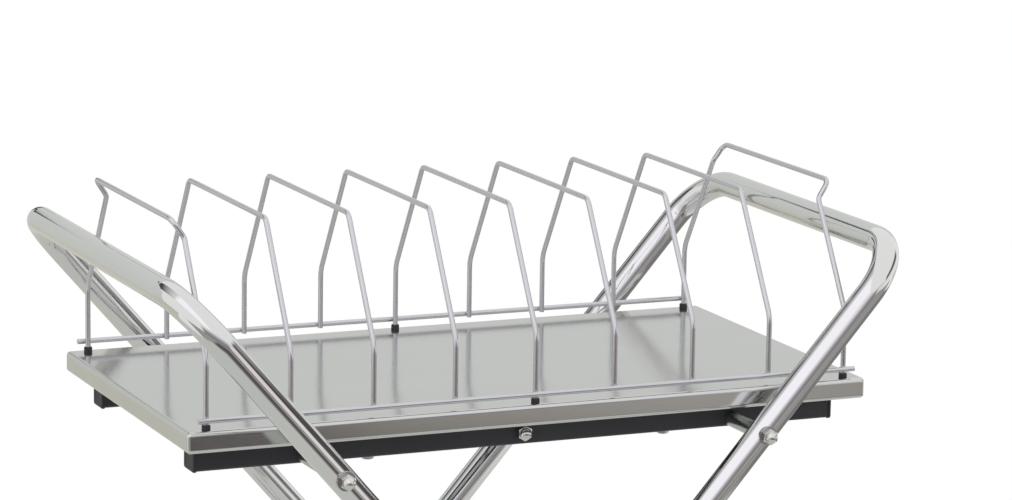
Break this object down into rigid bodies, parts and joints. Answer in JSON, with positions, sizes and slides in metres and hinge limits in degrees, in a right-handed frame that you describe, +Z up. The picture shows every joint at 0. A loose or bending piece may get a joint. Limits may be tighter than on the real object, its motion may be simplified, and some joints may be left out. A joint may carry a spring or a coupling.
{
  "type": "medical chart rack",
  "caption": "Wheeled rack on crossed tube legs with a flat deck and bent-wire dividers that hold medical chart binders upright.",
  "frame": {"origin": "on the floor, under the middle of the rack", "axes": "+X along the deck towards the right hand grip, +Y to the rear, +Z up"},
  "size_m": [0.7474, 0.569, 0.9045],
  "materials": {
    "deck_stainless": "cold-rolled stainless sheet, satin",
    "bar_enamel": "black enamel, satin",
    "black_plastic": "black moulded plastic",
    "rack_wire": "nickel-plated wire, soft sheen",
    "chrome_tube": "bright chrome plate",
    "zinc_steel": "clear zinc plate, satin",
    "bright_nut": "bright nickel plate",
    "washer_plastic": "natural nylon",
    "hub_plastic": "light grey moulded plastic",
    "tyre_rubber": "grey non-marking rubber",
    "pedal_plastic": "black moulded plastic"
  },
  "bodies": {
    "frame": {"deck_tray": "deck_stainless", "deck_channel_left": "deck_stainless", "deck_channel_right": "deck_stainless", "deck_screws": "zinc_steel", "deck_screw_nuts": "zinc_steel", "bar_front": "bar_enamel", "bar_rear": "bar_enamel", "bar_end_caps": "black_plastic", "divider_1": "rack_wire", "divider_2": "rack_wire", "divider_3": "rack_wire", "divider_4": "rack_wire", "divider_5": "rack_wire", "divider_6": "rack_wire", "divider_7": "rack_wire", "divider_8": "rack_wire", "divider_9": "rack_wire", "rack_rail_front": "rack_wire", "rack_rail_rear": "rack_wire", "rack_post_feet": "black_plastic", "rack_post_nuts": "zinc_steel", "frame_left": "chrome_tube", "frame_right": "chrome_tube", "foot_tube_left": "chrome_tube", "foot_tube_right": "chrome_tube", "foot_tube_caps": "black_plastic", "cross_rod_left": "zinc_steel", "cross_rod_right": "zinc_steel", "cross_rod_middle": "zinc_steel", "bar_sleeves": "zinc_steel", "leg_spacers": "zinc_steel", "dome_nuts": "bright_nut", "saddle_washers": "zinc_steel", "pivot_bolts": "bright_nut", "pivot_washers": "washer_plastic", "caster_stems": "zinc_steel", "caster_boots": "zinc_steel", "caster_top_washers": "zinc_steel", "caster_stem_nuts": "zinc_steel"},
    "caster_front_left_fork": {"caster_front_left_fork": "zinc_steel", "caster_front_left_axle": "zinc_steel", "caster_front_left_brake_pin": "zinc_steel"},
    "caster_front_left_wheel": {"caster_front_left_hub": "hub_plastic", "caster_front_left_tyre": "tyre_rubber"},
    "caster_front_left_pedal": {"caster_front_left_brake_pedal": "pedal_plastic"},
    "caster_rear_left_fork": {"caster_rear_left_fork": "zinc_steel", "caster_rear_left_axle": "zinc_steel", "caster_rear_left_brake_pin": "zinc_steel"},
    "caster_rear_left_wheel": {"caster_rear_left_hub": "hub_plastic", "caster_rear_left_tyre": "tyre_rubber"},
    "caster_rear_left_pedal": {"caster_rear_left_brake_pedal": "pedal_plastic"},
    "caster_front_right_fork": {"caster_front_right_fork": "zinc_steel", "caster_front_right_axle": "zinc_steel"},
    "caster_front_right_wheel": {"caster_front_right_hub": "hub_plastic", "caster_front_right_tyre": "tyre_rubber"},
    "caster_rear_right_fork": {"caster_rear_right_fork": "zinc_steel", "caster_rear_right_axle": "zinc_steel"},
    "caster_rear_right_wheel": {"caster_rear_right_hub": "hub_plastic", "caster_rear_right_tyre": "tyre_rubber"}
  },
  "joints": [
    {"name": "caster_front_left_swivel", "type": "hinge", "parent": "frame", "child": "caster_front_left_fork", "pos_m": [-0.28488, -0.236, 0.087], "axis": [0, 0, 1], "continuous": true},
    {"name": "caster_front_left_spin", "type": "hinge", "parent": "caster_front_left_fork", "child": "caster_front_left_wheel", "pos_m": [-0.31288, -0.236, 0.0375], "axis": [0, 1, 0], "continuous": true},
    {"name": "caster_front_left_brake", "type": "hinge", "parent": "caster_front_left_fork", "child": "caster_front_left_pedal", "pos_m": [-0.30988, -0.236, 0.081], "axis": [0, -1, 0], "range_deg": [0, 9]},
    {"name": "caster_rear_left_swivel", "type": "hinge", "parent": "frame", "child": "caster_rear_left_fork", "pos_m": [-0.28488, 0.236, 0.087], "axis": [0, 0, 1], "continuous": true},
    {"name": "caster_rear_left_spin", "type": "hinge", "parent": "caster_rear_left_fork", "child": "caster_rear_left_wheel", "pos_m": [-0.31288, 0.236, 0.0375], "axis": [0, 1, 0], "continuous": true},
    {"name": "caster_rear_left_brake", "type": "hinge", "parent": "caster_rear_left_fork", "child": "caster_rear_left_pedal", "pos_m": [-0.30988, 0.236, 0.081], "axis": [0, -1, 0], "range_deg": [0, 9]},
    {"name": "caster_front_right_swivel", "type": "hinge", "parent": "frame", "child": "caster_front_right_fork", "pos_m": [0.28488, -0.264, 0.087], "axis": [0, 0, 1], "continuous": true},
    {"name": "caster_front_right_spin", "type": "hinge", "parent": "caster_front_right_fork", "child": "caster_front_right_wheel", "pos_m": [0.31288, -0.264, 0.0375], "axis": [0, 1, 0], "continuous": true},
    {"name": "caster_rear_right_swivel", "type": "hinge", "parent": "frame", "child": "caster_rear_right_fork", "pos_m": [0.28488, 0.264, 0.087], "axis": [0, 0, 1], "continuous": true},
    {"name": "caster_rear_right_spin", "type": "hinge", "parent": "caster_rear_right_fork", "child": "caster_rear_right_wheel", "pos_m": [0.31288, 0.264, 0.0375], "axis": [0, 1, 0], "continuous": true}
  ]
}
